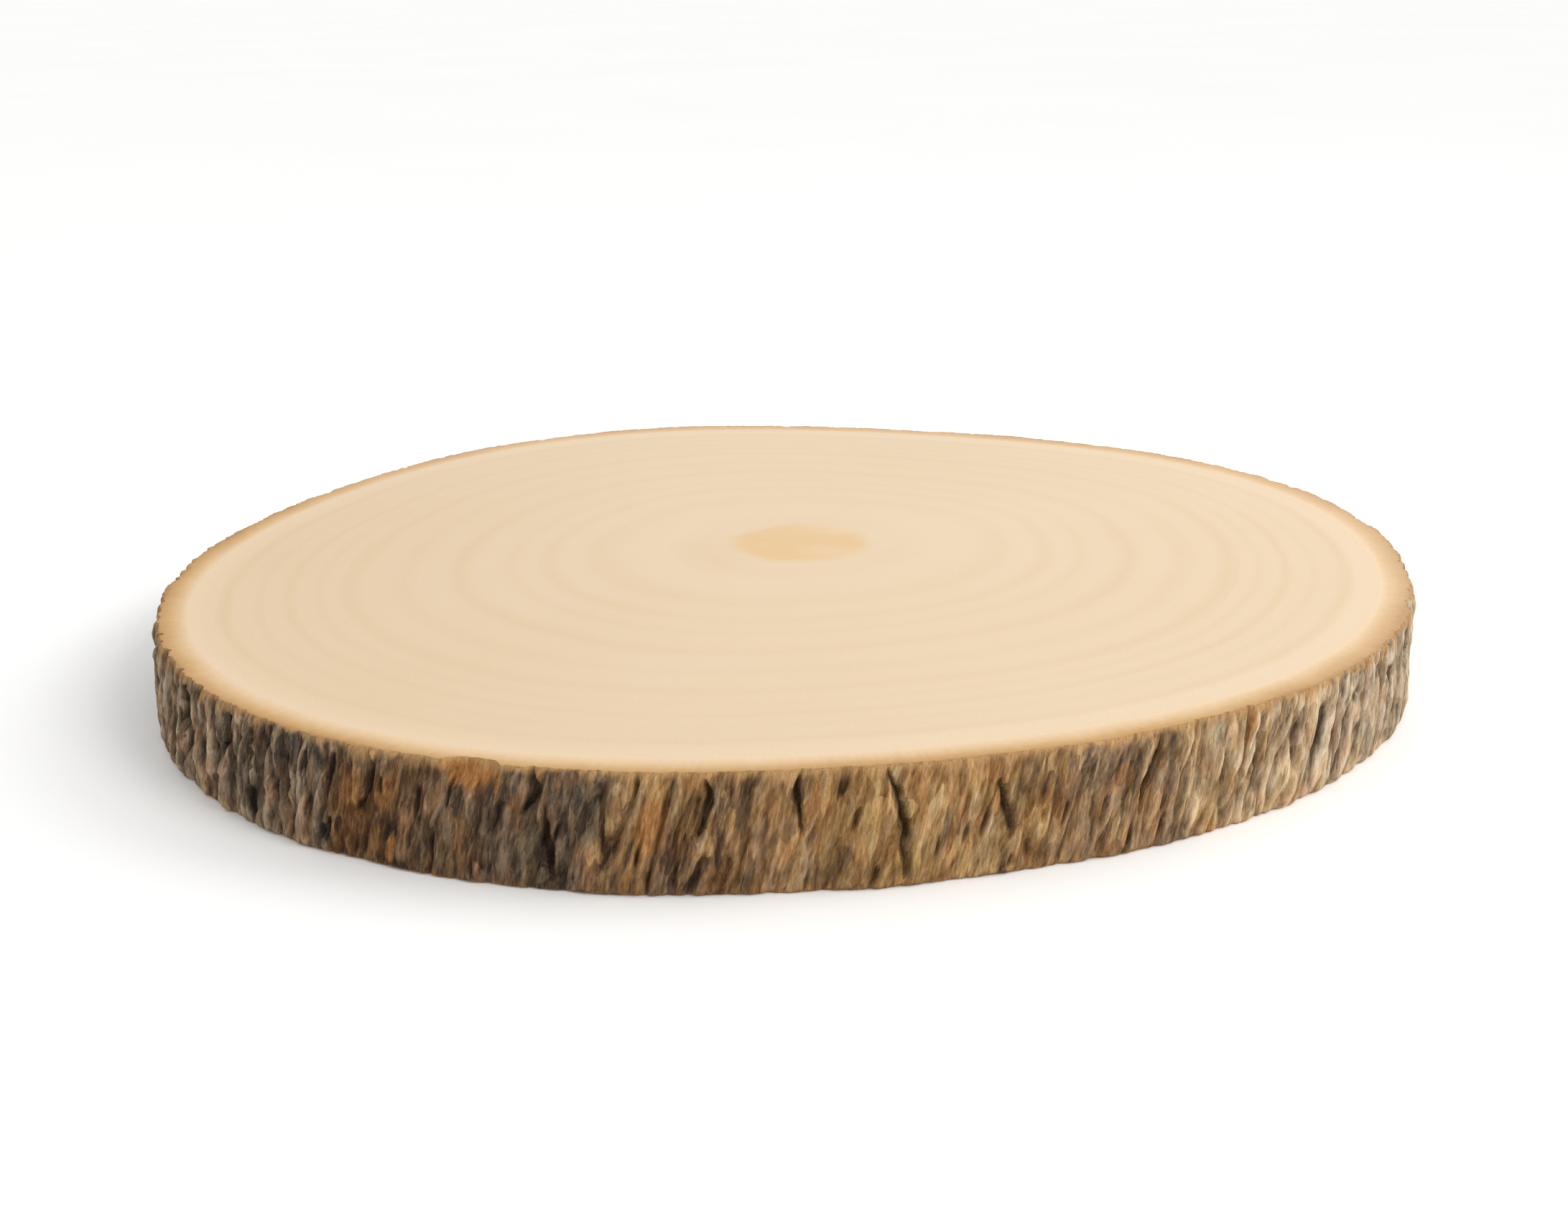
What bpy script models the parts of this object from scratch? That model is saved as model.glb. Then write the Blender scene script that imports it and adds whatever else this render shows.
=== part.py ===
"""A wood slice: a disc sawn straight across a trunk with the bark left on, lying on its flat underside.

Wood and bark grew as one piece, so the slice is one solid. Its two sawn faces are flat. Its wall is the bark: rough
plates between furrows that run along the trunk, which is upright here, and deeper cracks that taper to both ends.
All sizes are in metres, with +Z up. The origin is in the underside, on the axis of the mean outline.
Angles are in degrees around +Z from +X, so the side that the photograph shows is at -90.
"""

import math
import random

import bmesh
import bpy
from mathutils import noise

MEAN_RADIUS = 0.142
THICKNESS = 0.024
BARK_DEPTH = 0.0070  # from the mean outline in to the cambium, where bark meets wood
# How the trunk departs from a circle: waves around it, and each one's cosine and sine share of the radius.
OUTLINE_WAVES = {2: (0.0280, 0.0061), 3: (0.0199, -0.0070), 4: (-0.0067, 0.0101), 5: (-0.0062, 0.0005)}
GRAIN_LEAN = 0.22  # how far the bark's grain runs sideways, anticlockwise from above, for each unit of height

SWELL_SIZE = (0.026, 0.050)  # broad lumps: width around the trunk, then length along it
SWELL_HEIGHT = 0.0011
WARP_SIZE = (0.016, 0.022)
WARP_SHIFT = 0.0024  # how far the furrows wander sideways
PLATE_SIZE = (0.0066, 0.034)
PLATE_HEIGHT = (0.0009, 0.0016)  # above the furrows beside it, from the smoothest stretches to the roughest
FURROW_SHARE = 0.30  # the furrows' part of the plate pattern, out of about 1
RIDGE_SIZE = (0.0046, 0.026)  # narrow ridges all over the plates
RIDGE_HEIGHT = 0.0011

CRACK_SEED = 11
CRACK_COUNT = 44
CRACK_LENGTH = (0.010, 0.026)
CRACK_HALF_WIDTH = (0.0018, 0.0030)
CRACK_DEPTH = (0.0020, 0.0034)
CRACK_LEAN = (-0.10, 0.22)
CRACK_WANDER = 0.0008
# The saw wore the ridges down: the share of the relief left at the sawn faces, and how far in the wear reaches.
EDGE_SHARE = 0.35
EDGE_REACH = 0.0030
# The widest cracks that the photograph shows: angle, middle height, length and lean.
SEEN_CRACKS = (
    (-147.2, 0.0155, 0.014, 0.10),
    (-141.9, 0.0060, 0.012, 0.15),
    (-139.4, 0.0165, 0.011, 0.25),
    (-135.2, 0.0180, 0.012, 0.05),
    (-130.9, 0.0135, 0.018, 0.15),
    (-127.2, 0.0035, 0.009, 0.00),
    (-123.0, 0.0165, 0.015, 0.12),
    (-109.6, 0.0195, 0.011, 0.20),
    (-108.2, 0.0070, 0.013, 0.00),
    (-97.2, 0.0035, 0.010, 0.20),
    (-96.6, 0.0165, 0.013, 0.10),
    (-89.2, 0.0180, 0.013, 0.08),
    (-81.6, 0.0125, 0.022, -0.12),
    (-73.2, 0.0135, 0.013, -0.10),
    (-60.8, 0.0150, 0.018, 0.18),
    (-50.3, 0.0120, 0.022, 0.20),
    (-45.2, 0.0150, 0.017, 0.10),
    (-36.4, 0.0125, 0.014, 0.05),
)

# Where the photograph shows a bit of bark broken off the top edge: angle, half width, height and depth.
EDGE_CHIP = (-114.0, 0.0060, 0.0060, 0.0018)

COLUMNS = 540
ROWS = 8
# Linear base colours and roughness of the three surfaces.
FINISHES = {
    "sanded_wood": ((0.850, 0.660, 0.440), 0.55),
    "inner_bark": ((0.580, 0.340, 0.150), 0.75),
    "outer_bark": ((0.170, 0.105, 0.060), 0.95),
}
WOOD, INNER_BARK, OUTER_BARK = range(3)


def outline_radius(angle):
    """Radius of the slice's mean outline, before the bark's relief."""
    share = 1.0
    for order, (cosine, sine) in OUTLINE_WAVES.items():
        share += cosine * math.cos(order * angle) + sine * math.sin(order * angle)
    return MEAN_RADIUS * share


def trunk_noise(angle, height, size, layer):
    """Smooth noise on the trunk's surface, with no seam, stretched to the width and length in size."""
    width, length = size
    angle -= GRAIN_LEAN * height / MEAN_RADIUS
    around = MEAN_RADIUS / width
    layer_step = 31.7
    return noise.noise((around * math.cos(angle), around * math.sin(angle), height / length + layer * layer_step))


def plates(angle, height):
    """Bark plates and the furrows between them. The furrows follow the lines where the noise changes sign."""
    shift = WARP_SHIFT / MEAN_RADIUS * trunk_noise(angle, height, WARP_SIZE, 1)
    wave = abs(trunk_noise(angle + shift, height, PLATE_SIZE, 2))
    rough = min(1.0, max(0.0, 0.5 + trunk_noise(angle, height, SWELL_SIZE, 3)))
    plate = PLATE_HEIGHT[0] + (PLATE_HEIGHT[1] - PLATE_HEIGHT[0]) * rough
    ridge = RIDGE_HEIGHT * trunk_noise(angle, height, RIDGE_SIZE, 5)
    return ridge + plate * (math.sin(math.pi / 2 * min(1.0, wave / FURROW_SHARE)) - 0.7)


def bark_cracks():
    """Every deep crack: its angle, middle height, length, lean, half width, depth and the phase of its wander."""
    draw = random.Random(CRACK_SEED)
    places = [(math.radians(angle), *shape) for angle, *shape in SEEN_CRACKS]
    seen_from, seen_to = SEEN_CRACKS[0][0] - 4.0, SEEN_CRACKS[-1][0] + 4.0
    for index in range(CRACK_COUNT):
        angle = seen_to + (360.0 - seen_to + seen_from) * (index + draw.uniform(0.15, 0.85)) / CRACK_COUNT
        height = draw.uniform(0.0, THICKNESS)
        places.append((math.radians(angle), height, draw.uniform(*CRACK_LENGTH), draw.uniform(*CRACK_LEAN)))
    return [
        (*place, draw.uniform(*CRACK_HALF_WIDTH), draw.uniform(*CRACK_DEPTH), draw.uniform(0, math.tau))
        for place in places
    ]


def crack_depth(angle, height, cracks):
    """Depth of the deepest crack at one spot. A crack narrows to nothing at both ends."""
    deepest = 0.0
    for middle, centre, length, lean, half_width, depth, phase in cracks:
        along = 2.0 * (height - centre) / length
        if abs(along) >= 1.0:
            continue
        turn = math.remainder(angle - middle, math.tau)
        aside = MEAN_RADIUS * turn - lean * (height - centre) - CRACK_WANDER * math.sin(2.2 * along + phase)
        across = abs(aside) / (half_width * (1.0 - along * along) ** 0.5)
        if across < 1.0:
            deepest = max(deepest, depth * (1.0 - along * along) ** 0.5 * (1.0 - across))
    return deepest


def chip_depth(angle, height):
    """Depth of the chip in the top edge, which ends in a round foot below."""
    middle, half_width, tall, depth = EDGE_CHIP
    across = MEAN_RADIUS * math.remainder(angle - math.radians(middle), math.tau) / half_width
    down = (THICKNESS - height) / tall
    return depth * max(0.0, 1.0 - across**4 - down**4)


def bark_radius(angle, height, cracks):
    """Radius of the bark's surface at one spot."""
    swell = SWELL_HEIGHT * trunk_noise(angle, height, SWELL_SIZE, 4)
    from_edge = min(height, THICKNESS - height)
    share = EDGE_SHARE + (1.0 - EDGE_SHARE) * min(1.0, from_edge / EDGE_REACH)
    hollow = max(share * crack_depth(angle, height, cracks), chip_depth(angle, height))
    return outline_radius(angle) + swell + share * plates(angle, height) - hollow


def ring_of_points(mesh, radius_at, height):
    """One closed row of vertices at a height. Each row starts a little further round, to follow the grain."""
    row = []
    for column in range(COLUMNS):
        angle = math.tau * column / COLUMNS + GRAIN_LEAN * height / MEAN_RADIUS
        radius = radius_at(angle)
        row.append(mesh.verts.new((radius * math.cos(angle), radius * math.sin(angle), height)))
    return row


def band(mesh, lower, upper, finish):
    """Quads between two rows of vertices, facing out when upper lies above lower."""
    for column in range(COLUMNS):
        after = (column + 1) % COLUMNS
        face = mesh.faces.new((lower[column], lower[after], upper[after], upper[column]))
        face.material_index = finish


def cambium_radius(angle):
    return outline_radius(angle) - BARK_DEPTH


def slice_mesh():
    """The whole slice: the bark wall, then each sawn face as a ring of cut bark around a disc of wood."""
    cracks = bark_cracks()
    mesh = bmesh.new()
    rows = []
    for step in range(ROWS + 1):
        height = THICKNESS * step / ROWS
        rows.append(ring_of_points(mesh, lambda angle: bark_radius(angle, height, cracks), height))
    for lower, upper in zip(rows, rows[1:]):
        band(mesh, lower, upper, OUTER_BARK)
    top_cambium = ring_of_points(mesh, cambium_radius, THICKNESS)
    band(mesh, rows[-1], top_cambium, INNER_BARK)
    mesh.faces.new(top_cambium).material_index = WOOD
    under_cambium = ring_of_points(mesh, cambium_radius, 0.0)
    band(mesh, under_cambium, rows[0], INNER_BARK)
    mesh.faces.new(reversed(under_cambium)).material_index = WOOD
    return mesh


def finish_material(name):
    colour, roughness = FINISHES[name]
    material = bpy.data.materials.new(name)
    material.use_nodes = True
    shader = material.node_tree.nodes["Principled BSDF"]
    shader.inputs["Base Color"].default_value = (*colour, 1.0)
    shader.inputs["Roughness"].default_value = roughness
    return material


def build_slice():
    data = bpy.data.meshes.new("wood_slice")
    mesh = slice_mesh()
    mesh.to_mesh(data)
    mesh.free()
    for name in FINISHES:
        data.materials.append(finish_material(name))
    data.shade_smooth()
    data.set_sharp_from_angle(angle=math.radians(50.0))
    bpy.context.scene.collection.objects.link(bpy.data.objects.new("wood_slice", data))


def main():
    for old in list(bpy.data.objects):
        bpy.data.objects.remove(old)
    build_slice()


main()
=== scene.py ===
"""The wood slice dressed for its picture: fine bark, sawn faces with growth rings, floor, lights and camera.

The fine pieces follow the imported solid: the same outline, plates, furrows, ridges, cracks and chip, from the
same formulas and values, with the finer relief that the solid is too coarse to hold.
All sizes are in metres. Angles around +Z start at +X, so the side in the photograph is at -90 degrees.
"""

import math
import random

import bpy
import numpy as np
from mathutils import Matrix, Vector, noise


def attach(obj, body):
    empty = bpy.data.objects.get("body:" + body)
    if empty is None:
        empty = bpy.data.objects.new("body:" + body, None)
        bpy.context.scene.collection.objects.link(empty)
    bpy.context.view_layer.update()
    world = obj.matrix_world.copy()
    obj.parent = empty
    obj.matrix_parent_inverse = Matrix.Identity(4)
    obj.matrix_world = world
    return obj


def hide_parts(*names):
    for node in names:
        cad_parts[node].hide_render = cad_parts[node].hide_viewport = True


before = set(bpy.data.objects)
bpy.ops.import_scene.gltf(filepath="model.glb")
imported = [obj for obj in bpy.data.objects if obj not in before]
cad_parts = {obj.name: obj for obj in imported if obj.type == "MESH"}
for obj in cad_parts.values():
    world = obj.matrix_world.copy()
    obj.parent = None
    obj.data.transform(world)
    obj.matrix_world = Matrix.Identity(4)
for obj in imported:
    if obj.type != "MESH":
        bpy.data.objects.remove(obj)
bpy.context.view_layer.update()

# Form of the solid, with the values of part.py. Every size of a pattern on the bark is its width around the
# trunk, then its length along it.
MEAN_RADIUS = 0.142
THICKNESS = 0.024
BARK_DEPTH = 0.0070  # from the mean outline in to the cambium, where bark meets wood
# How the trunk departs from a circle: waves around it, and each one's cosine and sine share of the radius.
OUTLINE_WAVES = {2: (0.0280, 0.0061), 3: (0.0199, -0.0070), 4: (-0.0067, 0.0101), 5: (-0.0062, 0.0005)}
GRAIN_LEAN = 0.22  # how far the bark's grain runs sideways, anticlockwise from above, for each unit of height

SWELL_SIZE = (0.026, 0.050)
SWELL_HEIGHT = 0.0011
WARP_SIZE = (0.016, 0.022)
WARP_SHIFT = 0.0024
PLATE_SIZE = (0.0066, 0.034)
PLATE_HEIGHT = (0.0009, 0.0016)
FURROW_SHARE = 0.30
RIDGE_SIZE = (0.0046, 0.026)
RIDGE_HEIGHT = 0.0011

CRACK_SEED = 11
CRACK_COUNT = 44
CRACK_LENGTH = (0.010, 0.026)
CRACK_HALF_WIDTH = (0.0018, 0.0030)
CRACK_DEPTH = (0.0020, 0.0034)
CRACK_LEAN = (-0.10, 0.22)
CRACK_WANDER = 0.0008
# The saw wore the ridges down: the share of the relief left at the sawn faces, and how far in it reaches.
EDGE_SHARE = 0.35
EDGE_REACH = 0.0030
# The widest cracks that the photograph shows: angle, middle height, length and lean.
SEEN_CRACKS = (
    (-147.2, 0.0155, 0.014, 0.10),
    (-141.9, 0.0060, 0.012, 0.15),
    (-139.4, 0.0165, 0.011, 0.25),
    (-135.2, 0.0180, 0.012, 0.05),
    (-130.9, 0.0135, 0.018, 0.15),
    (-127.2, 0.0035, 0.009, 0.00),
    (-123.0, 0.0165, 0.015, 0.12),
    (-109.6, 0.0195, 0.011, 0.20),
    (-108.2, 0.0070, 0.013, 0.00),
    (-97.2, 0.0035, 0.010, 0.20),
    (-96.6, 0.0165, 0.013, 0.10),
    (-89.2, 0.0180, 0.013, 0.08),
    (-81.6, 0.0125, 0.022, -0.12),
    (-73.2, 0.0135, 0.013, -0.10),
    (-60.8, 0.0150, 0.018, 0.18),
    (-50.3, 0.0120, 0.022, 0.20),
    (-45.2, 0.0150, 0.017, 0.10),
    (-36.4, 0.0125, 0.014, 0.05),
)
# Where the photograph shows a bit of bark broken off the top edge: angle, half width, height and depth.
EDGE_CHIP = (-114.0, 0.0060, 0.0060, 0.0018)

# The layers of the noise lie this far apart. Each pattern takes its own, and the first five are the solid's.
LAYER_STEP = 31.7
WARP_LAYER, PLATE_LAYER, ROUGH_LAYER, SWELL_LAYER, RIDGE_LAYER = range(1, 6)
NET_LAYERS = (6, 7, 8)
CRACK_LAYER = 9
FIBRE_LAYERS = (10, 11)
BARE_LAYER, PIT_LAYER, FRAY_LAYER, DRIFT_LAYER, FUZZ_LAYER, LIP_LAYER, LIP_RAGGED_LAYER = range(12, 19)

# Where the outer bark has flaked off and the tan layer under it shows: angle, height, half width, half length
# and share.
BARE_SPOTS = (
    (-122.2, 0.0140, 0.0014, 0.0017, 0.50),
    (-121.2, 0.0040, 0.0017, 0.0030, 0.90),
    (-114.0, 0.0222, 0.0062, 0.0042, 1.00),
    (-100.4, 0.0130, 0.0032, 0.0062, 0.80),
    (-97.0, 0.0222, 0.0022, 0.0022, 0.60),
    (-88.3, 0.0185, 0.0013, 0.0050, 0.50),
    (-74.5, 0.0215, 0.0013, 0.0020, 0.60),
    (-63.5, 0.0160, 0.0028, 0.0032, 0.45),
    (-52.0, 0.0115, 0.0012, 0.0095, 0.55),
    (-50.9, 0.0200, 0.0014, 0.0036, 0.75),
    (-36.8, 0.0120, 0.0013, 0.0036, 0.50),
)
# More such spots are drawn between these values, for the sides that the photograph hides.
BARE_SEED = 5
BARE_COUNT = 16
BARE_ANGLES = (-25.0, 205.0)
BARE_HEIGHTS = (0.001, THICKNESS)
BARE_HALF_WIDTHS = (0.0012, 0.0030)
BARE_HALF_LENGTHS = (0.0025, 0.0065)
BARE_SHARES = (0.4, 0.9)
BARE_RAGGED = ((0.0018, 0.0070), 1.1)  # the spots' ragged edges: the size of that, and how far
# The same layer shows along the lower sawn edge: how far up it reaches, and its share.
EDGE_TAN = (0.0011, 0.4)
# Along the upper one the colour of the cut bark runs down over the edge: how far, from the least to the most,
# the size of the pattern that says how far, and the size of its ragged edge.
EDGE_LIP = (0.0006, 0.0024)
LIP_SIZE = (0.0040, 0.0600)
LIP_RAGGED_SIZE = (0.0012, 0.0040)
# It runs further down where little bark stands below it: angle, then how many times as far.
LIP_ZONES = ((-180, 2.5), (-163, 2.5), (-150, 1.0), (0, 1.0), (20, 2.5), (180, 2.5))

# Finer relief on the bark.
# The cracks' width is this share of the solid's, and their sides are ragged: the size of that, and how far.
CRACK_NARROWING = 0.55
CRACK_RAGGED = ((0.0024, 0.0036), 0.0010)
# Nets of gaps between strands: the size of a strand, the gaps' part of it, and their depth.
GAP_NETS = (
    ((0.0034, 0.0200), 0.30, 0.00095),
    ((0.0020, 0.0125), 0.28, 0.00055),
    ((0.0011, 0.0052), 0.32, 0.00026),
)
NET_SHIFT = 0.6  # the nets wander sideways against the plates, by this share of the plates' shift
# Short gashes: the size of their pattern, the level where one begins, the rise to its full depth, and depth.
PIT_SIZE = (0.0017, 0.0080)
PIT_LEVEL = 0.44
PIT_RISE = 0.15
PIT_DEPTH = 0.0007
# Unevenness along the strands: size and height.
FIBRE = ((0.0008, 0.0060), 0.00016)
GRIT = ((0.0008, 0.0011), 0.00007)
CREST_SPAN = 0.0009  # the fine relief's height from the deepest gap to the highest crest, for the painted highlight on the crests
# The sawn edges are frayed: how deep, how far from the edge, and the size of the unevenness.
EDGE_WEAR = 0.0005
WEAR_REACH = 0.0011
FRAY_SIZE = (0.0011, 0.0040)
RIM_DROP = 0.0001  # how far the bark's rims and the cut bark lie below the level of the wood
FUZZ = ((0.0012, 0.0030), 0.00008)  # size and height of the cut bark's fuzz
FUZZ_STRETCH = 6.0  # the fuzz is this many times finer from the rim in than its size says
WOOD_SAG = (25.0, 0.00005)  # the wood's swells: how many to a metre, and their height

COLUMNS = 2400  # the same for every piece, so that their rims share their points
BARK_ROWS = 40
ROW_CROWDING = 0.62  # how much closer together the bark's rows stand at its edges, from 0 to 1
CUT_BARK_STEPS = (0.0, 0.05, 0.12, 0.25, 0.45, 0.7, 0.88, 1.0)  # from the rim in to the cambium
# The maps cut a closed band into strips: how many, and the margins beside a strip and at its ends.
BARK_STRIPS = 6
CUT_BARK_STRIPS = 12
STRIP_MARGINS = (0.04, 0.004)

PITH = (0.0056, 0.0088)  # the rings' middle
# The rings: where each one ends, as a share of the way from the pith to the cambium, and how dark it ends.
RINGS = (
    (0.200, 0.60),
    (0.370, 0.60),
    (0.448, 0.70),
    (0.506, 0.55),
    (0.594, 0.95),
    (0.684, 0.60),
    (0.768, 1.00),
    (0.809, 0.55),
    (0.855, 0.95),
    (0.899, 0.45),
    (0.952, 1.00),
    (1.000, 0.10),
)
# How clear the rings are around the pith: angle, then their share of the darkest.
RING_ZONES = (
    (-180, 1.0),
    (-150, 1.0),
    (-135, 0.85),
    (-120, 0.55),
    (-90, 0.35),
    (-60, 0.35),
    (-20, 0.6),
    (0, 0.5),
    (20, 0.4),
    (90, 0.3),
    (130, 0.4),
    (155, 0.6),
    (180, 1.0),
)
HEART = (0.0038, 0.0088)  # middle of the darker spot around the pith

# The bark's look around the slice: angle, then how pale, how warm and how coarse it is.
BARK_ZONES = (
    (-180, 0.52, 0.35, 1.0),
    (-150, 0.59, 0.30, 1.0),
    (-135, 0.47, 0.28, 1.0),
    (-125, 0.39, 0.25, 0.9),
    (-121, 0.24, 0.90, 0.5),
    (-115, 0.29, 0.50, 0.5),
    (-109, 0.34, 0.30, 0.5),
    (-104, 0.36, 0.45, 0.5),
    (-100, 0.46, 0.85, 0.5),
    (-92, 0.44, 0.70, 0.5),
    (-85, 0.45, 0.90, 0.5),
    (-78, 0.55, 0.95, 0.5),
    (-65, 0.50, 0.80, 0.5),
    (-62.5, 0.43, 0.55, 0.7),
    (-59.5, 0.43, 0.50, 0.8),
    (-57.5, 0.66, 0.70, 0.8),
    (-52, 0.70, 0.65, 0.9),
    (-40, 0.77, 0.42, 1.0),
    (-25, 0.74, 0.32, 0.9),
    (20, 0.68, 0.35, 0.9),
    (70, 0.50, 0.50, 0.7),
    (120, 0.47, 0.60, 0.8),
    (180, 0.52, 0.35, 1.0),
)
ZONE_DRIFT = ((0.012, 0.030), 9.0)  # how these places wander: the size of it, and how many degrees
# The cut bark's look around the slice: angle, how far in its brown reaches, from 0 to 1, and how pale it is.
CUT_ZONES = (
    (-180, 1.0, 0.0),
    (-165, 1.0, 0.0),
    (-150, 0.7, 0.0),
    (-135, 0.25, 0.0),
    (-120, 0.0, 0.0),
    (-60, 0.0, 0.0),
    (-45, 0.7, 0.1),
    (-30, 1.0, 0.2),
    (0, 1.0, 0.3),
    (130, 1.0, 0.3),
    (165, 1.0, 0.05),
    (180, 1.0, 0.0),
)
BROWN_SPREAD = 0.24  # how much browner the cut bark gets where its brown reaches in

# The studio's light is bright enough to turn the floor white, so the slice's colours are this much darker.
UNDER_LIGHT = 0.89
# Painted shade on the wood: its colour darkens toward the left front, away from the light. The opposite
# direction, and the rise for each metre of it.
PAINTED_SHADE_AWAY = (1.0, 0.35, 0.0)
PAINTED_SHADE_RISE = -8.3
HEART_RISE = 48.0  # the ramp of the heart's colour ends at one 48th of a metre from its middle

FLOOR_REACH = 20.0
FLOOR_DROP = 0.0002  # keeps the floor from sharing a plane with the slice's underside
KEY_PLACE = (0.95, -0.75, 0.90)
KEY_COLOUR = (1.0, 0.985, 0.96)
KEY_STRENGTH = 0.99
KEY_WIDTH = math.radians(24.0)
SIDE_PLACE = (0.75, -0.10, 0.50)
SIDE_COLOUR = (1.0, 0.99, 0.97)
SIDE_POWER = 2.9
SIDE_WIDTH = 0.5
# The studio's walls: a little darker above than at the horizon.
WALLS = (("From Min", 0.10), ("From Max", 0.25), ("To Min", 1.0), ("To Max", 0.84))

CAMERA_PLACE = (-0.0021, -0.4642, 0.1612)
CAMERA_TARGET = (0.0, 0.0, 0.0085)
CAMERA_ROLL = math.radians(-0.9)
CAMERA_LENS = 46.0


def linear(red, green, blue, share=UNDER_LIGHT):
    """A colour's linear values from its 0 to 255 ones, times a share."""
    values = [value / 255 for value in (red, green, blue)]
    values = [value / 12.92 if value <= 0.04045 else ((value + 0.055) / 1.055) ** 2.4 for value in values]
    return tuple(share * value for value in values) + (1.0,)


# Form


def turn_from(middle, angle):
    """How far round each angle lies from the middle one, between minus and plus half a turn."""
    return (angle - middle + math.pi) % math.tau - math.pi


def by_angle(zones, angle, drift=0.0):
    """The values of a list of zones at each angle. drift moves the place that is read, in degrees."""
    places, *columns = zip(*zones)
    degrees = np.degrees(turn_from(0.0, angle)) + drift
    return [np.interp(degrees, places, values) for values in columns]


def outline_radius(angle):
    """Radius of the slice's mean outline, before the bark's relief."""
    share = 1.0
    for order, (cosine, sine) in OUTLINE_WAVES.items():
        share = share + cosine * np.cos(order * angle) + sine * np.sin(order * angle)
    return MEAN_RADIUS * share


def cambium_radius(angle):
    return outline_radius(angle) - BARK_DEPTH


def trunk_noise(angle, height, size, layer):
    """Smooth noise on the trunk's surface, with no seam, stretched to the width and length in size."""
    width, length = size
    turned = angle - GRAIN_LEAN * height / MEAN_RADIUS
    around = MEAN_RADIUS / width
    along = height / length + layer * LAYER_STEP
    places = np.stack([around * np.cos(turned), around * np.sin(turned), along], -1)
    values = [noise.noise(place) for place in places.reshape(-1, 3).tolist()]
    return np.array(values).reshape(angle.shape)


def bark_cracks():
    """Every deep crack: angle, middle height, length, lean, half width, depth and the phase of its wander."""
    draw = random.Random(CRACK_SEED)
    places = [(math.radians(angle), *shape) for angle, *shape in SEEN_CRACKS]
    seen_from, seen_to = SEEN_CRACKS[0][0] - 4.0, SEEN_CRACKS[-1][0] + 4.0
    for index in range(CRACK_COUNT):
        angle = seen_to + (360.0 - seen_to + seen_from) * (index + draw.uniform(0.15, 0.85)) / CRACK_COUNT
        height = draw.uniform(0.0, THICKNESS)
        places.append((math.radians(angle), height, draw.uniform(*CRACK_LENGTH), draw.uniform(*CRACK_LEAN)))
    return [
        (*place, draw.uniform(*CRACK_HALF_WIDTH), draw.uniform(*CRACK_DEPTH), draw.uniform(0, math.tau))
        for place in places
    ]


def crack_depth(angle, height):
    """Depth of the deepest crack at each spot, and how far into its crack the spot is, from 0 to 1."""
    deepest = np.zeros_like(angle)
    inside = np.zeros_like(angle)
    size, shift = CRACK_RAGGED
    ragged = shift * trunk_noise(angle, height, size, CRACK_LAYER)
    for middle, centre, length, lean, half_width, depth, phase in bark_cracks():
        along = 2.0 * (height - centre) / length
        taper = np.sqrt(np.clip(1.0 - along * along, 0.0, 1.0))
        aside = MEAN_RADIUS * turn_from(middle, angle) - lean * (height - centre)
        aside -= CRACK_WANDER * np.sin(2.2 * along + phase)
        across = np.abs(aside + ragged) / (half_width * CRACK_NARROWING * taper + 1e-6)
        share = taper * np.clip(1.0 - across, 0.0, 1.0) ** 0.8
        deepest = np.maximum(deepest, depth * share)
        inside = np.maximum(inside, share)
    return deepest, inside


def bare_share(angle, height):
    """How much of the tan layer shows at each spot, from 0 to 1."""
    draw = random.Random(BARE_SEED)
    spots = list(BARE_SPOTS)
    drawn_between = (BARE_ANGLES, BARE_HEIGHTS, BARE_HALF_WIDTHS, BARE_HALF_LENGTHS, BARE_SHARES)
    for _ in range(BARE_COUNT):
        spots.append(tuple(draw.uniform(*ends) for ends in drawn_between))
    size, depth = BARE_RAGGED
    ragged = depth * trunk_noise(angle, height, size, BARE_LAYER)
    reach, share = EDGE_TAN
    shown = share * np.clip(0.8 + 1.2 * ragged - height / reach, 0.0, 1.0)
    for middle, centre, half_width, half_length, strength in spots:
        along = (height - centre) / half_length
        aside = MEAN_RADIUS * turn_from(math.radians(middle), angle) - GRAIN_LEAN * (height - centre)
        inside = 1.0 - (aside / half_width) ** 2 - along * along + ragged
        shown = np.maximum(shown, strength * np.clip(1.6 * inside, 0.0, 1.0))
    return shown


def lip_share(angle, height):
    """How far each spot has the colour of the cut bark, from 0 to 1."""
    reach = np.interp(trunk_noise(angle, height, LIP_SIZE, LIP_LAYER), (-0.35, 0.45), EDGE_LIP)
    reach *= by_angle(LIP_ZONES, angle)[0]
    ragged = trunk_noise(angle, height, LIP_RAGGED_SIZE, LIP_RAGGED_LAYER)
    return np.clip(1.25 + 0.9 * ragged - (THICKNESS - height) / reach, 0.0, 1.0)


def chip_share(angle, height):
    """How deep each spot lies in the chip in the top edge, from 0 to 1."""
    middle, half_width, tall, _ = EDGE_CHIP
    across = MEAN_RADIUS * turn_from(math.radians(middle), angle) / half_width
    down = (THICKNESS - height) / tall
    return np.clip(1.0 - across**4 - down**4, 0.0, 1.0)


def zone_values(angle, height):
    """How pale, how warm and how coarse the bark is at each spot."""
    size, reach = ZONE_DRIFT
    return by_angle(BARK_ZONES, angle, reach * trunk_noise(angle, height, size, DRIFT_LAYER))


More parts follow.
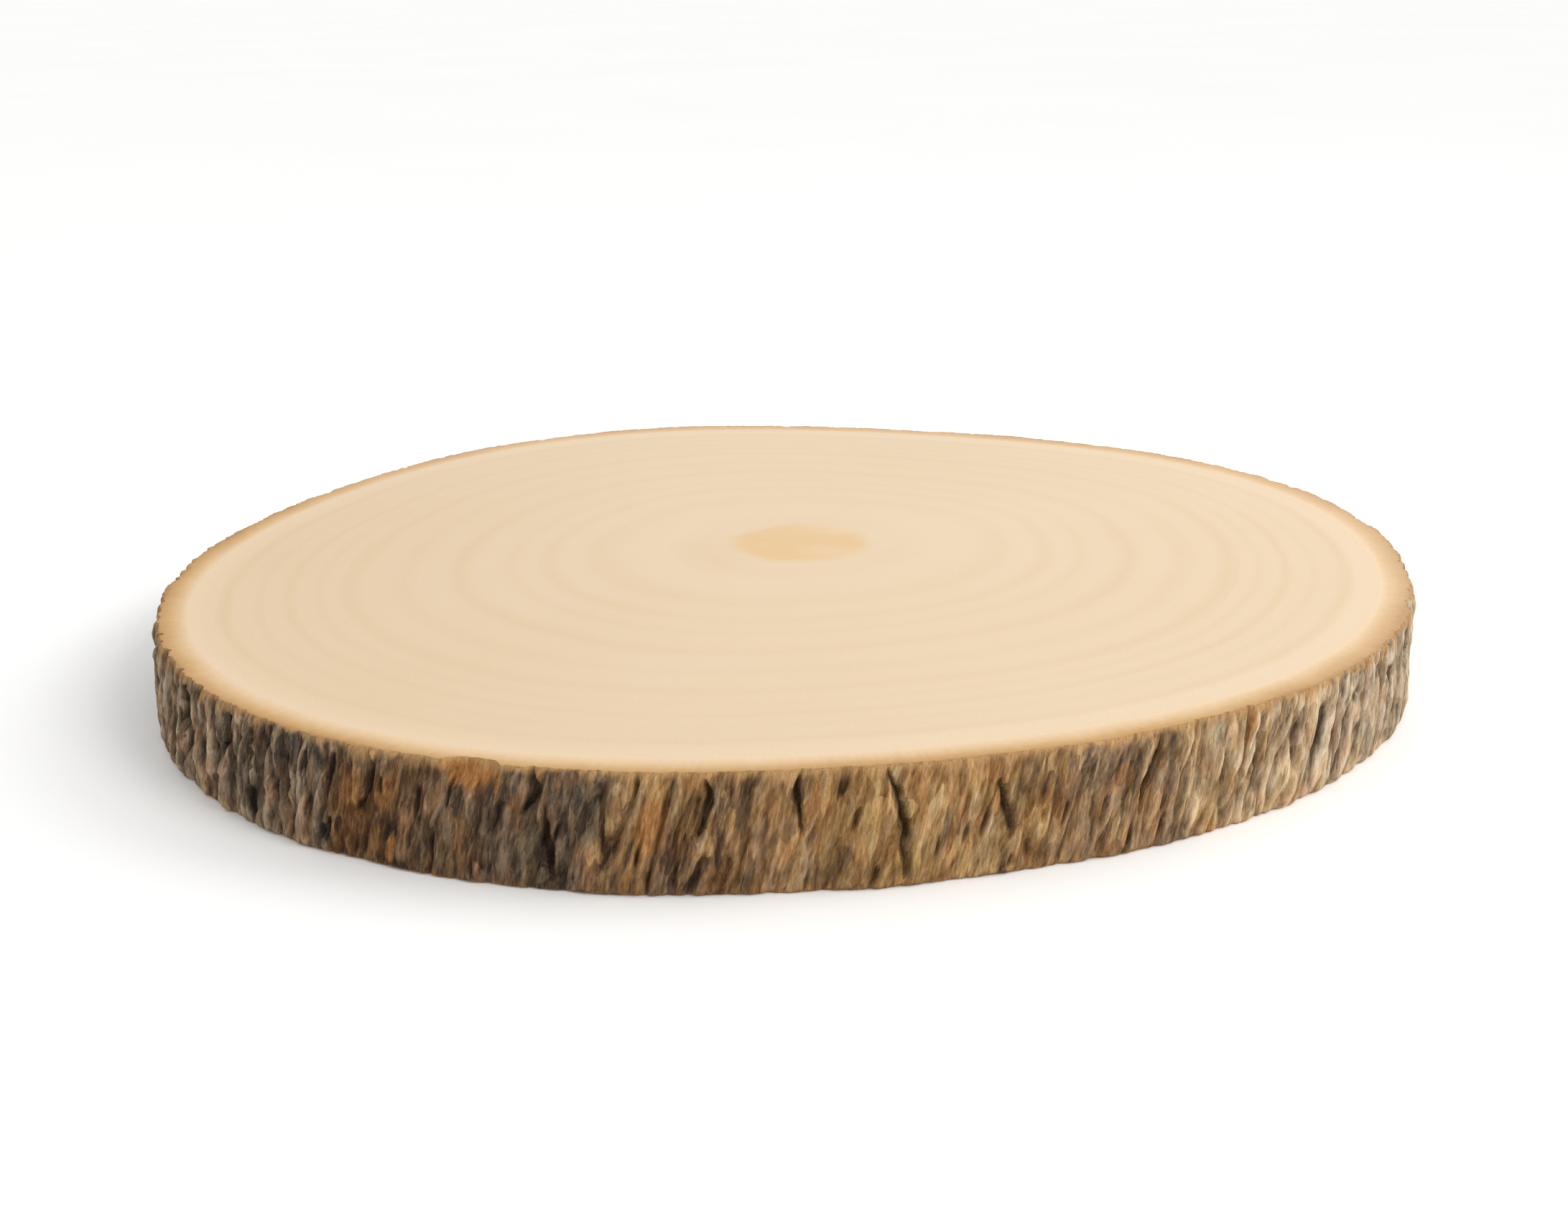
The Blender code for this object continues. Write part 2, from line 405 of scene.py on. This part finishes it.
def fine_relief(angle, height, shift, rough, coarse):
    """What the solid is too coarse for: the fine relief's height, and its gaps and gashes, from 0 to 1."""
    fine = np.zeros_like(angle)
    gaps = np.zeros_like(angle)
    for layer, (size, part, depth) in zip(NET_LAYERS, GAP_NETS):
        strand = np.abs(trunk_noise(angle - NET_SHIFT * shift, height, size, layer))
        gap = coarse * np.clip(1.0 - strand / part, 0.0, 1.0) ** 1.2 * (0.6 + 0.8 * rough)
        fine += depth * (0.4 * coarse - gap)
        gaps = np.maximum(gaps, gap * (depth / GAP_NETS[0][2]) ** 0.5)
    for layer, (size, tall) in zip(FIBRE_LAYERS, (FIBRE, GRIT)):
        fine += tall * trunk_noise(angle, height, size, layer)
    pits = np.clip((trunk_noise(angle, height, PIT_SIZE, PIT_LAYER) - PIT_LEVEL) / PIT_RISE, 0.0, 1.0)
    return fine - PIT_DEPTH * pits, gaps, pits


def bark_relief(angle, height, coarse):
    """The bark at each spot: its radius, the painted shade in its hollows and the painted highlight on its
    crests.

    The painted shade is 0 on a ridge and 1 deep in a crack. The painted highlight is 0 in a gap and 1 on the
    highest strands.
    """
    shift = WARP_SHIFT / MEAN_RADIUS * trunk_noise(angle, height, WARP_SIZE, WARP_LAYER)
    wave = np.abs(trunk_noise(angle + shift, height, PLATE_SIZE, PLATE_LAYER))
    rough = np.clip(0.5 + trunk_noise(angle, height, SWELL_SIZE, ROUGH_LAYER), 0.0, 1.0)
    plate = PLATE_HEIGHT[0] + (PLATE_HEIGHT[1] - PLATE_HEIGHT[0]) * rough
    rise = np.sin(math.pi / 2 * np.clip(wave / FURROW_SHARE, 0.0, 1.0))
    swell = SWELL_HEIGHT * trunk_noise(angle, height, SWELL_SIZE, SWELL_LAYER)
    ridge = RIDGE_HEIGHT * trunk_noise(angle, height, RIDGE_SIZE, RIDGE_LAYER)
    cracks, inside = crack_depth(angle, height)
    chip = chip_share(angle, height)
    from_edge = np.minimum(height, THICKNESS - height)
    share = EDGE_SHARE + (1.0 - EDGE_SHARE) * np.clip(from_edge / EDGE_REACH, 0.0, 1.0)
    sound = outline_radius(angle) + swell + share * (ridge + plate * (rise - 0.7))
    fine, gaps, pits = fine_relief(angle, height, shift, rough, coarse)
    fine *= (1.0 - 0.5 * chip) * share
    radius = sound + fine - np.maximum(share * cracks, chip * EDGE_CHIP[3])
    # Painted shade for the colours: darkest deep in the cracks, less in the gaps, furrows and gashes, and less
    # near the sawn edges and in the chip.
    crack_shade = np.clip(1.5 * inside - 0.25, 0.0, 1.0)
    crevice_shade = np.clip(0.35 * (1.0 - rise) * (0.4 + rough) + 0.65 * gaps + crack_shade + 0.7 * pits, 0.0, 1.0)
    # Painted highlight for the colours: paler where the fine relief stands out furthest.
    crest_highlight = np.clip(0.5 + fine / CREST_SPAN, 0.0, 1.0)
    return radius, crevice_shade * share * (1.0 - 0.6 * chip), crest_highlight


def round_points(radius, angle, height):
    height = np.broadcast_to(height, angle.shape)
    return np.stack([radius * np.cos(angle), radius * np.sin(angle), height], -1)


# Meshes


def band_faces(rows, columns):
    """Quads of a closed band. They face out when its rows go up, and up when its rows go in."""
    index = np.arange(rows * columns).reshape(rows, columns)
    after = np.roll(index, -1, axis=1)
    return np.stack([index[:-1], after[:-1], after[1:], index[1:]], axis=-1).reshape(-1, 4)


def strip_map(across, columns, strips):
    """A map that stacks the strips of a closed band. across is each row's place on it, from 0 to 1."""
    beside, at_ends = STRIP_MARGINS
    per_strip = columns // strips
    row, column = np.meshgrid(np.arange(len(across) - 1), np.arange(columns), indexing="ij")
    along = column % per_strip
    low, high = across[row], across[row + 1]
    u = np.stack([along, along + 1, along + 1, along], -1) / per_strip
    v = beside + (1.0 - 2.0 * beside) * np.stack([low, low, high, high], -1)
    v = (v + (column // per_strip)[..., None]) / strips
    return np.stack([at_ends + (1.0 - 2.0 * at_ends) * u, v], -1).reshape(-1, 2)


def add_piece(name, points, faces, uv, material, values=()):
    """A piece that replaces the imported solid. values are pairs: a name, and its numbers at the points."""
    data = bpy.data.meshes.new(name)
    data.from_pydata(points.reshape(-1, 3).tolist(), [], faces)
    data.uv_layers.new(name="OFBake").data.foreach_set("uv", uv.astype(np.float32).ravel())
    for label, numbers in values:
        vector = numbers.shape[-1] == 3
        field = data.attributes.new(label, "FLOAT_VECTOR" if vector else "FLOAT", "POINT")
        field.data.foreach_set("vector" if vector else "value", numbers.astype(np.float32).ravel())
    data.shade_smooth()
    data.materials.append(material)
    piece = bpy.data.objects.new(name, data)
    bpy.context.scene.collection.objects.link(piece)
    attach(piece, "root")
    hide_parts("wood_slice")


def row_heights():
    """Heights of the bark's rows, closer together near both edges."""
    step = np.arange(BARK_ROWS + 1) / BARK_ROWS
    return THICKNESS * (step - ROW_CROWDING * np.sin(math.tau * step) / math.tau)


def build_bark(material):
    """The bark all round. Returns its lowest and highest rows, which the sawn faces meet."""
    heights = row_heights()
    column = math.tau * np.arange(COLUMNS) / COLUMNS
    height = np.repeat(heights[:, None], COLUMNS, axis=1)
    angle = column[None, :] + GRAIN_LEAN * height / MEAN_RADIUS
    tone, warmth, coarse = zone_values(angle, height)
    radius, crevice_shade, crest_highlight = bark_relief(angle, height, coarse)
    from_edge = np.minimum(height, THICKNESS - height)
    worn = np.clip(1.0 - from_edge / WEAR_REACH, 0.0, 1.0)
    fray = 0.5 + trunk_noise(angle, height, FRAY_SIZE, FRAY_LAYER)
    radius -= EDGE_WEAR * worn**2 * (0.5 + 0.8 * np.clip(fray, 0.0, 1.0))
    points = round_points(radius, angle, height)
    points[-1, :, 2] -= RIM_DROP
    points[0, :, 2] += RIM_DROP
    turned = angle - GRAIN_LEAN * height / MEAN_RADIUS
    grain = round_points(radius + EDGE_CHIP[3] * chip_share(angle, height), turned, height)
    values = [
        ("grain", grain),
        ("crevice_shade", crevice_shade),
        ("crest_highlight", crest_highlight),
        ("tone", tone),
        ("warmth", warmth),
        ("coarse", coarse),
        ("bare", bare_share(angle, height)),
        ("lip", lip_share(angle, height)),
    ]
    faces = band_faces(BARK_ROWS + 1, COLUMNS).tolist()
    uv = strip_map(heights / THICKNESS, COLUMNS, BARK_STRIPS)
    add_piece("bark", points, faces, uv, material, values)
    return points[0], points[-1]


def build_cut_bark(name, rim, top, material):
    """The ring of bark on one sawn face, from the bark's rim in to the cambium."""
    steps = np.array(CUT_BARK_STEPS)
    angle = np.arctan2(rim[:, 1], rim[:, 0])
    out = np.hypot(rim[:, 0], rim[:, 1])
    inner = cambium_radius(angle)
    share = steps[:, None]
    radius = out + (inner - out) * share
    angles = np.broadcast_to(angle, radius.shape)
    side = 1.0 if top else -1.0
    face_height = THICKNESS if top else 0.0
    size, tall = FUZZ
    fuzz = tall * trunk_noise(angles, FUZZ_STRETCH * radius, size, FUZZ_LAYER)
    fuzz *= np.clip(4.0 * share * (1.0 - share), 0.0, 1.0)
    drop = RIM_DROP * np.clip((1.0 - share) * 5.0, 0.0, 1.0) + fuzz
    height = np.where(share > 0.0, face_height - side * drop, rim[:, 2])
    points = round_points(radius, angles, height)
    rays = round_points(np.full_like(radius, MEAN_RADIUS), angles, radius)
    across = np.clip((radius - inner) / BARK_DEPTH, 0.0, 1.0)
    off_cambium = np.clip(4.0 * across, 0.0, 1.0)
    wide, pale = by_angle(CUT_ZONES, angle)
    pale = pale * off_cambium
    across = across + BROWN_SPREAD * wide * np.sqrt(1.0 - across) * off_cambium
    if not top:
        points, across, rays, pale, steps = (values[::-1] for values in (points, across, rays, pale, steps))
    faces = band_faces(len(steps), COLUMNS).tolist()
    uv = strip_map(np.abs(steps - steps[0]), COLUMNS, CUT_BARK_STRIPS)
    values = [("across", across), ("pale", pale), ("rays", rays)]
    add_piece(name, points, faces, uv, material, values)


def build_wood(name, top, material):
    """The disc of wood on one sawn face. Its circles follow the rings, from the pith out to the cambium."""
    levels, counts, darks = [], [], []
    start = 0.0
    for number, (end, dark) in enumerate(RINGS):
        for part in (0.5, 1.0):
            levels.append(start + (end - start) * part)
            counts.append(number + part)
            darks.append(dark)
        start = end
    start_angle = GRAIN_LEAN * THICKNESS / MEAN_RADIUS if top else 0.0
    angle = math.tau * np.arange(COLUMNS) / COLUMNS + start_angle
    edge = round_points(cambium_radius(angle), angle, 0.0)
    pith = np.array([*PITH, 0.0])
    level = np.array(levels)[:, None, None]
    points = (pith + (edge - pith) * level).reshape(-1, 3)
    often, tall = WOOD_SAG
    sag = np.array([tall * noise.noise((x * often, y * often, 3.0)) for x, y, _ in points.tolist()])
    share = np.repeat(levels, COLUMNS)
    side = 1.0 if top else -1.0
    points[:, 2] = (THICKNESS if top else 0.0) + side * sag * np.clip(8.0 * (1.0 - share), 0.0, 1.0)
    rings = np.repeat(counts, COLUMNS)
    clear = np.append(np.outer(darks, by_angle(RING_ZONES, angle)[0]), darks[0])
    middle = len(points)
    points = np.vstack([points, [*PITH, THICKNESS if top else 0.0]])
    share = np.append(share, 0.0)
    rings = np.append(rings, 0.0)
    faces = band_faces(len(levels), COLUMNS)[:, ::-1].tolist()
    faces += [(middle, column, (column + 1) % COLUMNS) for column in range(COLUMNS)]
    if not top:
        faces = [face[::-1] for face in faces]
    corners = np.concatenate([np.asarray(face) for face in faces])
    reach = 2.1 * MEAN_RADIUS
    uv = 0.5 + points[corners][:, :2] / reach
    if not top:
        uv[:, 0] = 1.0 - uv[:, 0]
    values = [("rings", rings), ("share", share), ("clear", clear)]
    add_piece(name, points, faces, uv, material, values)


# Materials


class Look:
    """A material and its node tree, built up a node at a time."""

    def __init__(self, name, roughness, specular):
        self.material = bpy.data.materials.new(name)
        self.material.use_nodes = True
        self.tree = self.material.node_tree
        self.shader = self.tree.nodes["Principled BSDF"]
        self.shader.inputs["Roughness"].default_value = roughness
        self.shader.inputs["Specular IOR Level"].default_value = specular

    def node(self, kind, inputs=(), output=0, **settings):
        """One output of a new node. inputs are values or other nodes' outputs, by socket."""
        made = self.tree.nodes.new(kind)
        for key, value in settings.items():
            setattr(made, key, value)
        for key, value in dict(inputs).items():
            self.put(made.inputs[key], value)
        return made.outputs[output]

    def put(self, socket, value):
        if isinstance(value, bpy.types.NodeSocket):
            self.tree.links.new(value, socket)
        else:
            socket.default_value = value

    def math(self, operation, first, second=0.0, third=0.0, clamp=False):
        inputs = {0: first, 1: second, 2: third}
        return self.node("ShaderNodeMath", inputs, operation=operation, use_clamp=clamp)

    def vector(self, operation, first, second=(0.0, 0.0, 0.0), output=0):
        return self.node("ShaderNodeVectorMath", {0: first, 1: second}, output, operation=operation)

    def vary(self, base, *parts):
        """base, moved up and down by how far each part's value lies from a half, times the part's weight."""
        for value, weight in parts:
            base = self.math("MULTIPLY_ADD", value, weight, base)
        return self.math("SUBTRACT", base, 0.5 * sum(weight for _, weight in parts))

    def field(self, name, output="Fac"):
        return self.node("ShaderNodeAttribute", output=output, attribute_name=name)

    def stretched(self, vector, scale):
        return self.vector("MULTIPLY", vector, scale)

    def noise(self, vector, detail=3.0, roughness=0.55, output=0):
        inputs = {"Vector": vector, "Scale": 1.0, "Detail": detail, "Roughness": roughness}
        return self.node("ShaderNodeTexNoise", inputs, output)

    def ramp(self, value, stops, smooth=False):
        made = self.tree.nodes.new("ShaderNodeValToRGB")
        ramp = made.color_ramp
        ramp.interpolation = "EASE" if smooth else "LINEAR"
        while len(ramp.elements) < len(stops):
            ramp.elements.new(1.0)
        for element, (place, colour) in zip(ramp.elements, stops):
            element.position = place
            element.color = colour if isinstance(colour, tuple) else (colour, colour, colour, 1.0)
        self.put(made.inputs[0], value)
        return made.outputs[0]

    def mix(self, share, first, second, blend="MIX"):
        made = self.tree.nodes.new("ShaderNodeMix")
        made.data_type = "RGBA"
        made.blend_type = blend
        self.put(made.inputs[0], share)
        self.put(made.inputs[6], first)
        self.put(made.inputs[7], second)
        return made.outputs[2]

    def paint(self, colour):
        self.put(self.shader.inputs["Base Color"], colour)

    def bump(self, height, strength, distance):
        normal = self.node("ShaderNodeBump", {"Height": height, "Strength": strength, "Distance": distance})
        self.put(self.shader.inputs["Normal"], normal)


def bark_look():
    look = Look("outer_bark", 0.92, 0.15)
    grain = look.field("grain", "Vector")
    sway = look.noise(look.stretched(grain, (130.0, 130.0, 70.0)), 2.0, 0.5, output=1)
    sway = look.vector("SUBTRACT", sway, (0.5, 0.5, 0.5))
    swayed = look.vector("ADD", look.stretched(sway, (0.0018, 0.0018, 0.0010)), grain)
    streaks = look.noise(look.stretched(swayed, (800.0, 800.0, 165.0)), 5.0, 0.66)
    threads = look.noise(look.stretched(swayed, (2000.0, 2000.0, 400.0)), 3.0, 0.6)
    patches = look.noise(look.stretched(grain, (115.0, 115.0, 50.0)), 4.0, 0.62)
    cells = {"Vector": look.stretched(swayed, (640.0, 640.0, 170.0)), "Scale": 1.0}
    flakes = look.node("ShaderNodeTexVoronoi", cells, output=1)
    flake_tone = look.node("ShaderNodeSeparateColor", {0: flakes}, output=0)
    flake_warmth = look.node("ShaderNodeSeparateColor", {0: flakes}, output=1)
    grit = look.noise(look.stretched(grain, (2600.0, 2600.0, 1500.0)), 2.0, 0.5)
    # Painted highlight: the raised strands are made paler.
    crest_highlight = look.field("crest_highlight")
    parts = [(streaks, 0.95), (threads, 0.50), (patches, 0.60), (flake_tone, 0.22), (crest_highlight, 0.25)]
    level = look.vary(look.field("tone"), *parts)
    strands = look.noise(look.stretched(swayed, (430.0, 430.0, 80.0)), 3.0, 0.6)
    strength = look.math("MULTIPLY_ADD", look.field("coarse"), 1.1, -0.35)
    level = look.math("MULTIPLY_ADD", look.math("SUBTRACT", strands, 0.5), strength, level)
    cool = [
        (0.0, linear(40, 34, 28)),
        (0.25, linear(84, 74, 64)),
        (0.5, linear(134, 119, 103)),
        (0.75, linear(184, 167, 147)),
        (1.0, linear(226, 211, 191)),
    ]
    warm = [
        (0.0, linear(44, 28, 17)),
        (0.25, linear(98, 67, 39)),
        (0.5, linear(153, 115, 70)),
        (0.75, linear(201, 163, 109)),
        (1.0, linear(233, 204, 155)),
    ]
    warmth = look.vary(look.field("warmth"), (patches, 0.9), (flake_warmth, 0.4))
    colour = look.mix(warmth, look.ramp(level, cool), look.ramp(level, warm))
    tinge = look.noise(look.stretched(swayed, (230.0, 230.0, 95.0)), 4.0, 0.62)
    rust = look.ramp(tinge, [(0.50, 0.0), (0.62, 0.5)])
    colour = look.mix(rust, colour, look.mix(1.0, colour, linear(255, 224, 212, 1.0), "MULTIPLY"))
    moss = look.ramp(tinge, [(0.36, 0.5), (0.48, 0.0)])
    colour = look.mix(moss, colour, look.mix(1.0, colour, linear(234, 236, 210, 1.0), "MULTIPLY"))
    bare = look.mix(look.vary(0.5, (threads, 1.5), (streaks, 1.5)), linear(100, 58, 28), linear(212, 150, 88))
    colour = look.mix(look.field("bare"), colour, bare)
    lip = look.mix(look.vary(0.6, (threads, 1.2), (streaks, 1.2)), linear(136, 97, 60), linear(208, 166, 114))
    colour = look.mix(look.field("lip"), colour, lip)
    # Painted shade: the colour is darkened in the cracks, furrows, gaps and gashes.
    shade = look.ramp(look.field("crevice_shade"), [(0.0, 1.0), (0.35, 0.80), (0.75, 0.44), (1.0, 0.24)])
    look.paint(look.mix(1.0, colour, shade, "MULTIPLY"))
    relief = look.vary(streaks, (threads, 0.6), (grit, 0.3), (flake_tone, 0.15))
    look.bump(relief, 0.7, 0.0009)
    return look.material


def cut_bark_look():
    look = Look("cut_bark", 0.85, 0.2)
    place = look.node("ShaderNodeTexCoord", output="Object")
    mottle = look.noise(look.stretched(place, (420.0, 420.0, 420.0)), 4.0, 0.6)
    blotch = look.noise(look.stretched(place, (70.0, 70.0, 70.0)), 2.0, 0.5)
    fibres = look.noise(look.stretched(look.field("rays", "Vector"), (700.0, 700.0, 90.0)), 3.0, 0.6)
    level = look.vary(look.field("across"), (mottle, 0.20), (blotch, 0.30), (fibres, 0.15))
    level = look.math("MULTIPLY", level, look.math("MULTIPLY", look.field("across"), 6.0, clamp=True))
    stops = [
        (0.0, linear(234, 209, 176)),
        (0.10, linear(233, 206, 171)),
        (0.29, linear(230, 199, 160)),
        (0.50, linear(222, 187, 144)),
        (0.71, linear(209, 170, 120)),
        (0.90, linear(197, 156, 105)),
        (1.0, linear(180, 138, 90)),
    ]
    look.paint(look.mix(look.field("pale"), look.ramp(level, stops), linear(236, 210, 182)))
    look.bump(mottle, 0.5, 0.0003)
    return look.material


def wood_look():
    look = Look("sanded_wood", 0.55, 0.3)
    place = look.node("ShaderNodeTexCoord", output="Object")
    share = look.field("share")
    wobble = look.noise(look.stretched(place, (28.0, 28.0, 28.0)), 3.0, 0.5)
    rings = look.vary(look.field("rings"), (wobble, 0.40))
    ring_stops = [(0.0, 0.6), (0.2, 0.0), (0.5, 0.0), (0.88, 1.0), (1.0, 0.6)]
    late = look.ramp(look.math("FRACT", rings), ring_stops, True)
    uneven = look.noise(look.stretched(place, (16.0, 16.0, 16.0)), 2.0, 0.5)
    clear = look.math("MULTIPLY", look.field("clear"), look.ramp(uneven, [(0.35, 0.6), (0.65, 1.0)]))
    fine = look.node("ShaderNodeTexNoise", {"W": rings, "Scale": 7.0, "Detail": 2.0}, noise_dimensions="1D")
    strength = look.math("MULTIPLY", look.vary(late, (fine, 0.7)), clear, clamp=True)
    cloud = look.noise(look.stretched(place, (11.0, 11.0, 11.0)), 3.0, 0.6)
    cloud = look.ramp(cloud, [(0.35, 0.0), (0.7, 1.0)])
    colour = look.mix(cloud, linear(232, 210, 179), linear(230, 207, 173))
    sap = look.ramp(share, [(0.93, 0.0), (0.98, 1.0)], True)
    colour = look.mix(sap, colour, linear(235, 212, 180))
    # Painted shade: the wood's colour is darkened toward the left front.
    away = look.vector("DOT_PRODUCT", place, PAINTED_SHADE_AWAY, output=1)
    painted_left_shade = look.math("MULTIPLY", away, PAINTED_SHADE_RISE, clamp=True)
    colour = look.mix(painted_left_shade, colour, look.mix(1.0, colour, linear(250, 246, 240, 1.0), "MULTIPLY"))
    colour = look.mix(strength, colour, linear(224, 197, 158))
    seam = look.ramp(share, [(0.975, 0.0), (1.0, 0.8)])
    colour = look.mix(seam, colour, linear(234, 209, 176))
    from_heart = look.stretched(look.vector("SUBTRACT", place, (*HEART, 0.0)), (1.0, 1.0, 0.0))
    reach = look.vector("LENGTH", from_heart, output=1)
    ragged = look.noise(look.stretched(place, (70.0, 70.0, 70.0)))
    heart = look.math("MULTIPLY", look.vary(reach, (ragged, 0.008)), HEART_RISE)
    heart_share = look.ramp(heart, [(0.0, 0.8), (0.62, 0.85), (0.92, 0.0)], True)
    stain = look.noise(look.stretched(place, (55.0, 55.0, 55.0)), 2.0, 0.5)
    stain = look.ramp(stain, [(0.4, 0.0), (0.6, 1.0)])
    stained = look.mix(stain, linear(229, 192, 138), linear(233, 199, 156))
    colour = look.mix(heart_share, colour, stained)
    pores = look.noise(look.stretched(place, (2200.0, 2200.0, 2200.0)), 2.0, 0.6)
    colour = look.mix(look.ramp(pores, [(0.30, 0.18), (0.46, 0.0)]), colour, linear(206, 176, 138))
    look.paint(colour)
    look.bump(look.vary(pores, (late, 0.3)), 0.2, 0.0002)
    return look.material


def floor_look():
    look = Look("pale_floor", 0.8, 0.0)
    place = look.node("ShaderNodeTexCoord", output="Object")
    tint = look.noise(look.stretched(place, (3.0, 3.0, 3.0)), 3.0, 0.5)
    colour = look.ramp(tint, [(0.3, linear(248, 248, 247, 1.0)), (0.7, linear(250, 250, 249, 1.0))])
    look.paint(colour)
    return look.material


# Stage, light and camera


def build_floor():
    data = bpy.data.meshes.new("floor")
    corners = [(x * FLOOR_REACH, y * FLOOR_REACH, 0.0) for x, y in ((-1, -1), (1, -1), (1, 1), (-1, 1))]
    data.from_pydata(corners, [], [(0, 1, 2, 3)])
    data.materials.append(floor_look())
    floor = bpy.data.objects.new("floor", data)
    floor.location.z = -FLOOR_DROP
    bpy.context.scene.collection.objects.link(floor)


def aim(thing, place, target):
    """Put a light or camera in its place and turn it to its target."""
    thing.location = place
    thing.rotation_euler = (Vector(target) - Vector(place)).to_track_quat("-Z", "Y").to_euler()


def add_light(name, data, place, target, strength, colour):
    data.energy = strength
    data.color = colour
    light = bpy.data.objects.new(name, data)
    bpy.context.scene.collection.objects.link(light)
    aim(light, place, target)


def light_scene():
    world = bpy.data.worlds.new("studio")
    bpy.context.scene.world = world
    world.use_nodes = True
    tree = world.node_tree
    place = tree.nodes.new("ShaderNodeTexCoord")
    split = tree.nodes.new("ShaderNodeSeparateXYZ")
    walls = tree.nodes.new("ShaderNodeMapRange")
    for key, value in WALLS:
        walls.inputs[key].default_value = value
    tree.links.new(place.outputs["Generated"], split.inputs[0])
    tree.links.new(split.outputs["Z"], walls.inputs["Value"])
    tree.links.new(walls.outputs[0], tree.nodes["Background"].inputs["Strength"])
    tree.nodes["Background"].inputs["Color"].default_value = (1.0, 1.0, 1.0, 1.0)
    key = bpy.data.lights.new("key", "SUN")
    key.angle = KEY_WIDTH
    add_light("key", key, KEY_PLACE, (0.0, 0.0, 0.0), KEY_STRENGTH, KEY_COLOUR)
    side = bpy.data.lights.new("side", "AREA")
    side.shape = "DISK"
    side.size = SIDE_WIDTH
    add_light("side", side, SIDE_PLACE, (0.0, 0.0, 0.01), SIDE_POWER, SIDE_COLOUR)
    bpy.context.scene.view_settings.view_transform = "Standard"


def add_camera():
    data = bpy.data.cameras.new("camera")
    data.sensor_width = 36.0
    data.lens = CAMERA_LENS
    data.clip_start = 0.01
    camera = bpy.data.objects.new("camera", data)
    bpy.context.scene.collection.objects.link(camera)
    aim(camera, CAMERA_PLACE, CAMERA_TARGET)
    camera.rotation_euler.rotate_axis("Z", CAMERA_ROLL)
    bpy.context.scene.camera = camera


low_rim, high_rim = build_bark(bark_look())
cut_bark = cut_bark_look()
wood = wood_look()
build_cut_bark("cut_bark_top", high_rim, True, cut_bark)
build_cut_bark("cut_bark_under", low_rim, False, cut_bark)
build_wood("sawn_face_top", True, wood)
build_wood("sawn_face_under", False, wood)
build_floor()
light_scene()
add_camera()
